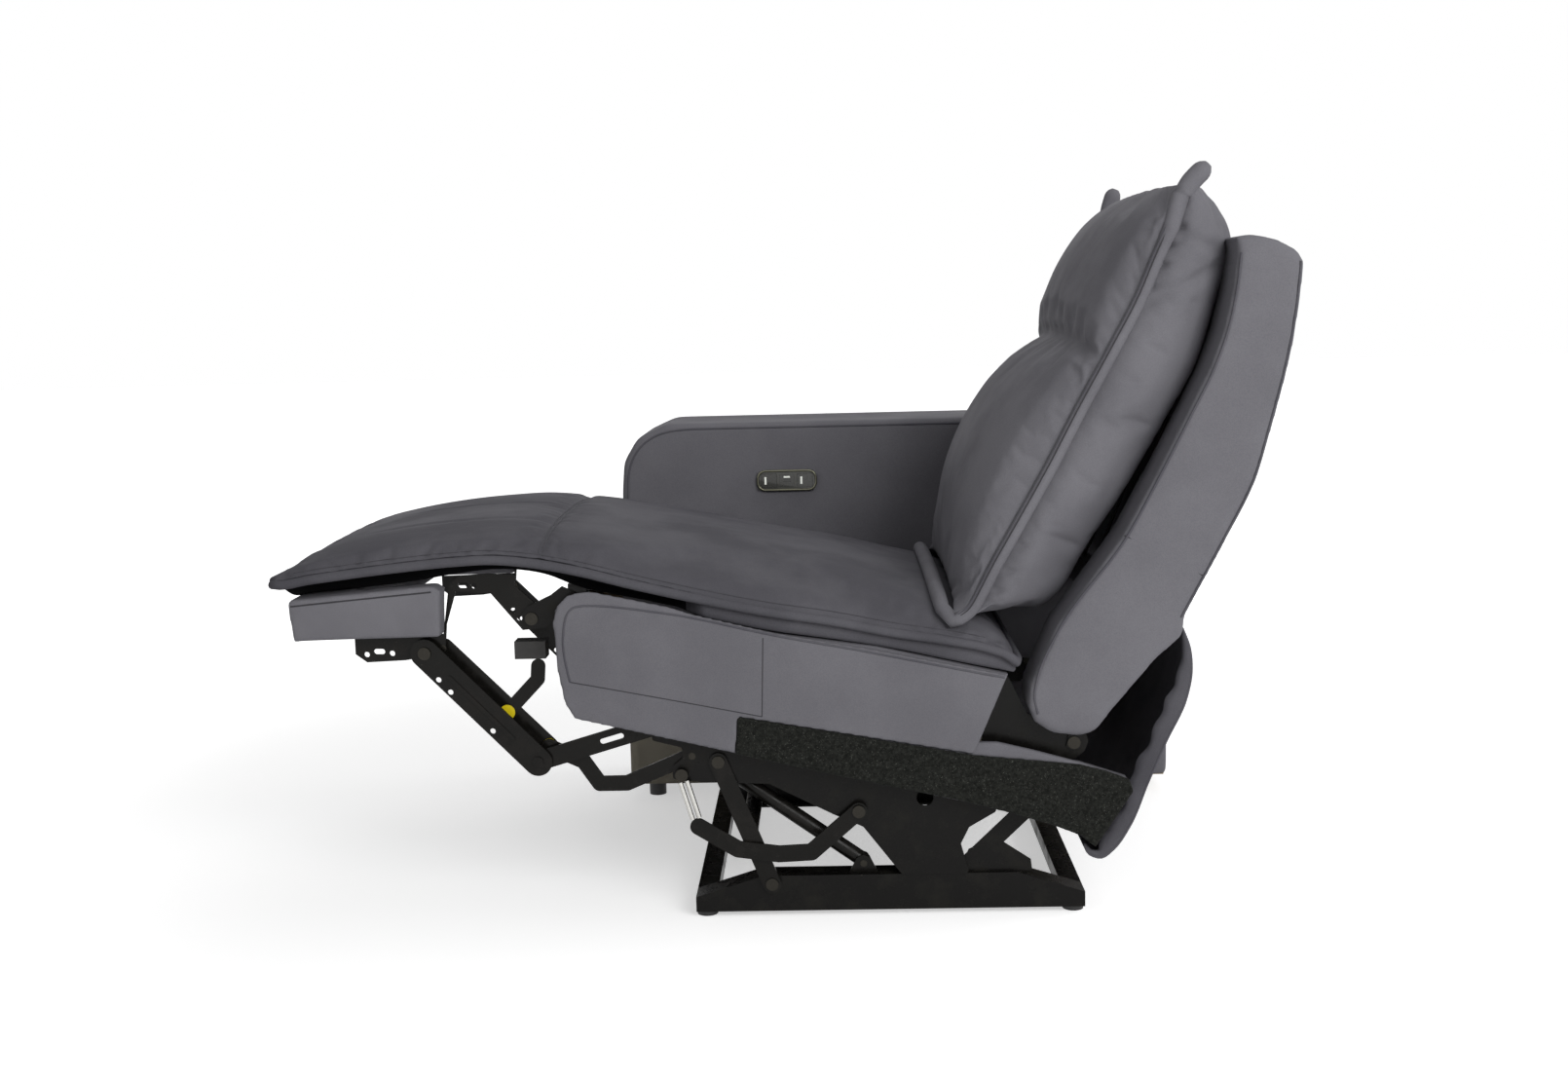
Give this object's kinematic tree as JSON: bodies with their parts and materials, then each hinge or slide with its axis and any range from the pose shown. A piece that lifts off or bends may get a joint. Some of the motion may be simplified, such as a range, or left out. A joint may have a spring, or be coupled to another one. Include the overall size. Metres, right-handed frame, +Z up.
{
  "type": "power recliner",
  "caption": "One-armed power recliner with a fold-out footrest, a sliding seat on a steel link mechanism and a reclining padded back, shown open.",
  "frame": {"origin": "middle of the footprint on the floor", "axes": "+Z up, -X towards the sitter's feet, +Y towards the arm"},
  "size_m": [1.424, 0.856, 1.0412],
  "materials": {
    "floor_glides": "moulded black plastic",
    "base_rails": "satin black enamel",
    "cross_members": "satin black enamel",
    "power_inlet": "moulded black plastic",
    "base_stands": "satin black enamel",
    "base_pivot_pins": "bright zinc plate",
    "arm_brackets": "satin black enamel",
    "arm_cover": "soft grey faux leather",
    "arm_frame": "raw plywood",
    "arm_lining": "woven olive lining",
    "control_bezel": "glossy black",
    "usb_socket": "glossy black",
    "open_button": "glossy black with a pale bar",
    "close_button": "glossy black with a pale bar",
    "front_lift_links": "satin black enamel",
    "front_lift_tube": "satin black enamel",
    "rear_lift_links": "satin black enamel",
    "drive_links": "satin black enamel",
    "drive_cranks": "satin black enamel",
    "drive_torque_tube": "satin black enamel",
    "actuator_arm": "satin black enamel",
    "actuator_slider": "moulded nylon block",
    "actuator_gearbox": "moulded black plastic",
    "actuator_motor": "black steel motor can",
    "actuator_rail": "extruded rail",
    "seat_plates": "satin black enamel",
    "seat_pivot_pins": "bright zinc plate",
    "balance_stays": "satin black enamel",
    "stay_rods": "bright zinc plate",
    "seat_side_boards": "raw plywood",
    "seat_side_covers": "soft grey faux leather",
    "felt_strips": "needled felt",
    "seat_front_board": "raw plywood",
    "seat_front_cover": "soft grey faux leather",
    "seat_rear_board": "raw plywood",
    "seat_springs": "bright zinc plate",
    "seat_knee_arms": "satin black enamel",
    "back_brackets": "satin black enamel",
    "seat_cushion": "soft grey faux leather",
    "seat_washers": "yellow nylon",
    "lower_skirt": "soft grey faux leather",
    "footrest_block": "soft grey faux leather",
    "footrest_brackets": "satin black enamel",
    "footrest_pins": "bright zinc plate",
    "footrest_pad": "soft grey faux leather",
    "lower_ottoman_links": "satin black enamel",
    "cross_ottoman_links": "satin black enamel",
    "channel_ottoman_links": "satin black enamel",
    "rear_ottoman_links": "satin black enamel",
    "knee_bumpers": "moulded black rubber",
    "rear_link_washers": "yellow nylon",
    "back_side_boards": "raw plywood",
    "back_side_covers": "soft grey faux leather",
    "back_hinge_plates": "satin black enamel",
    "back_panel": "soft grey faux leather",
    "upper_skirt": "soft grey faux leather",
    "back_cross_rails": "raw plywood",
    "back_springs": "bright zinc plate",
    "back_cushion": "soft grey faux leather",
    "head_cushion": "soft grey faux leather"
  },
  "bodies": {
    "base": {"floor_glides": "floor_glides", "base_rails": "base_rails", "cross_members": "cross_members", "power_inlet": "power_inlet", "base_stands": "base_stands", "base_pivot_pins": "base_pivot_pins", "arm_brackets": "arm_brackets", "arm_cover": "arm_cover", "arm_frame": "arm_frame", "arm_lining": "arm_lining", "control_bezel": "control_bezel", "usb_socket": "usb_socket"},
    "open_button": {"open_button": "open_button"},
    "close_button": {"close_button": "close_button"},
    "front_lift": {"front_lift_links": "front_lift_links", "front_lift_tube": "front_lift_tube"},
    "rear_lift": {"rear_lift_links": "rear_lift_links"},
    "drive_link": {"drive_links": "drive_links"},
    "drive_crank": {"drive_cranks": "drive_cranks", "drive_torque_tube": "drive_torque_tube", "actuator_arm": "actuator_arm"},
    "slider": {"actuator_slider": "actuator_slider"},
    "seat": {"actuator_gearbox": "actuator_gearbox", "actuator_motor": "actuator_motor", "actuator_rail": "actuator_rail", "seat_plates": "seat_plates", "seat_pivot_pins": "seat_pivot_pins", "balance_stays": "balance_stays", "stay_rods": "stay_rods", "seat_side_boards": "seat_side_boards", "seat_side_covers": "seat_side_covers", "felt_strips": "felt_strips", "seat_front_board": "seat_front_board", "seat_front_cover": "seat_front_cover", "seat_rear_board": "seat_rear_board", "seat_springs": "seat_springs", "seat_knee_arms": "seat_knee_arms", "back_brackets": "back_brackets", "seat_cushion": "seat_cushion", "seat_washers": "seat_washers", "lower_skirt": "lower_skirt"},
    "footrest": {"footrest_block": "footrest_block", "footrest_brackets": "footrest_brackets", "footrest_pins": "footrest_pins", "footrest_pad": "footrest_pad"},
    "lower_link": {"lower_ottoman_links": "lower_ottoman_links"},
    "cross_link": {"cross_ottoman_links": "cross_ottoman_links"},
    "channel_link": {"channel_ottoman_links": "channel_ottoman_links"},
    "rear_link": {"rear_ottoman_links": "rear_ottoman_links", "knee_bumpers": "knee_bumpers", "rear_link_washers": "rear_link_washers"},
    "back": {"back_side_boards": "back_side_boards", "back_side_covers": "back_side_covers", "back_hinge_plates": "back_hinge_plates", "back_panel": "back_panel", "upper_skirt": "upper_skirt", "back_cross_rails": "back_cross_rails", "back_springs": "back_springs", "back_cushion": "back_cushion", "head_cushion": "head_cushion"}
  },
  "joints": [
    {"name": "mechanism", "type": "hinge", "parent": "base", "child": "front_lift", "pos_m": [-0.019, -0.12, 0.05], "axis": [0, 1, 0], "range_deg": [0, 43.6]},
    {"name": "seat_tilt", "type": "hinge", "parent": "front_lift", "child": "seat", "pos_m": [-0.091, -0.12, 0.23], "axis": [0, 1, 0], "range_deg": [-49.6, 0]},
    {"name": "rear_lift_turn", "type": "hinge", "parent": "base", "child": "rear_lift", "pos_m": [0.3434, -0.12, 0.15], "axis": [0, 1, 0], "range_deg": [0, 69.2]},
    {"name": "footrest_fold", "type": "hinge", "parent": "seat", "child": "footrest", "pos_m": [-0.346, -0.12, 0.441], "axis": [0, 1, 0], "range_deg": [-84, 0]},
    {"name": "lower_link_turn", "type": "hinge", "parent": "seat", "child": "lower_link", "pos_m": [-0.16, -0.12, 0.29], "axis": [0, 1, 0], "range_deg": [-63.23, 0]},
    {"name": "cross_link_turn", "type": "hinge", "parent": "seat", "child": "cross_link", "pos_m": [-0.128, -0.12, 0.238], "axis": [0, 1, 0], "range_deg": [-44.22, 0]},
    {"name": "channel_link_turn", "type": "hinge", "parent": "footrest", "child": "channel_link", "pos_m": [-0.498, -0.12, 0.395], "axis": [0, 1, 0], "range_deg": [0, 94.64]},
    {"name": "rear_link_turn", "type": "hinge", "parent": "footrest", "child": "rear_link", "pos_m": [-0.474, -0.12, 0.4], "axis": [0, 1, 0], "range_deg": [0, 118.84]},
    {"name": "drive_link_turn", "type": "hinge", "parent": "base", "child": "drive_link", "pos_m": [0.112, -0.12, 0.072], "axis": [0, 1, 0], "range_deg": [0, 34.2]},
    {"name": "drive_crank_turn", "type": "hinge", "parent": "seat", "child": "drive_crank", "pos_m": [-0.025, -0.12, 0.275], "axis": [0, 1, 0], "range_deg": [0, 63.76]},
    {"name": "actuator_travel", "type": "slide", "parent": "seat", "child": "slider", "axis": [-1, 0, 0], "range_m": [0, 0.0687]},
    {"name": "back_recline", "type": "hinge", "parent": "seat", "child": "back", "pos_m": [0.409, -0.12, 0.25], "axis": [0, 1, 0], "range_deg": [0, 33]},
    {"name": "open_press", "type": "slide", "parent": "base", "child": "open_button", "axis": [0, 1, 0], "range_m": [0, 0.0015], "stiffness_N_per_m": 600},
    {"name": "close_press", "type": "slide", "parent": "base", "child": "close_button", "axis": [0, 1, 0], "range_m": [0, 0.0015], "stiffness_N_per_m": 600}
  ],
  "couplings": [
    {"joint": "seat_tilt", "follows": "mechanism", "ratio": -1.1376},
    {"joint": "rear_lift_turn", "follows": "mechanism", "ratio": 1.5871},
    {"joint": "footrest_fold", "follows": "mechanism", "ratio": -1.9266},
    {"joint": "lower_link_turn", "follows": "mechanism", "ratio": -1.4502},
    {"joint": "cross_link_turn", "follows": "mechanism", "ratio": -1.0142},
    {"joint": "channel_link_turn", "follows": "mechanism", "ratio": 2.1706},
    {"joint": "rear_link_turn", "follows": "mechanism", "ratio": 2.7256},
    {"joint": "drive_link_turn", "follows": "mechanism", "ratio": 0.7844},
    {"joint": "drive_crank_turn", "follows": "mechanism", "ratio": 1.4623},
    {"joint": "actuator_travel", "follows": "mechanism", "m_per_rad": 0.0902}
  ]
}
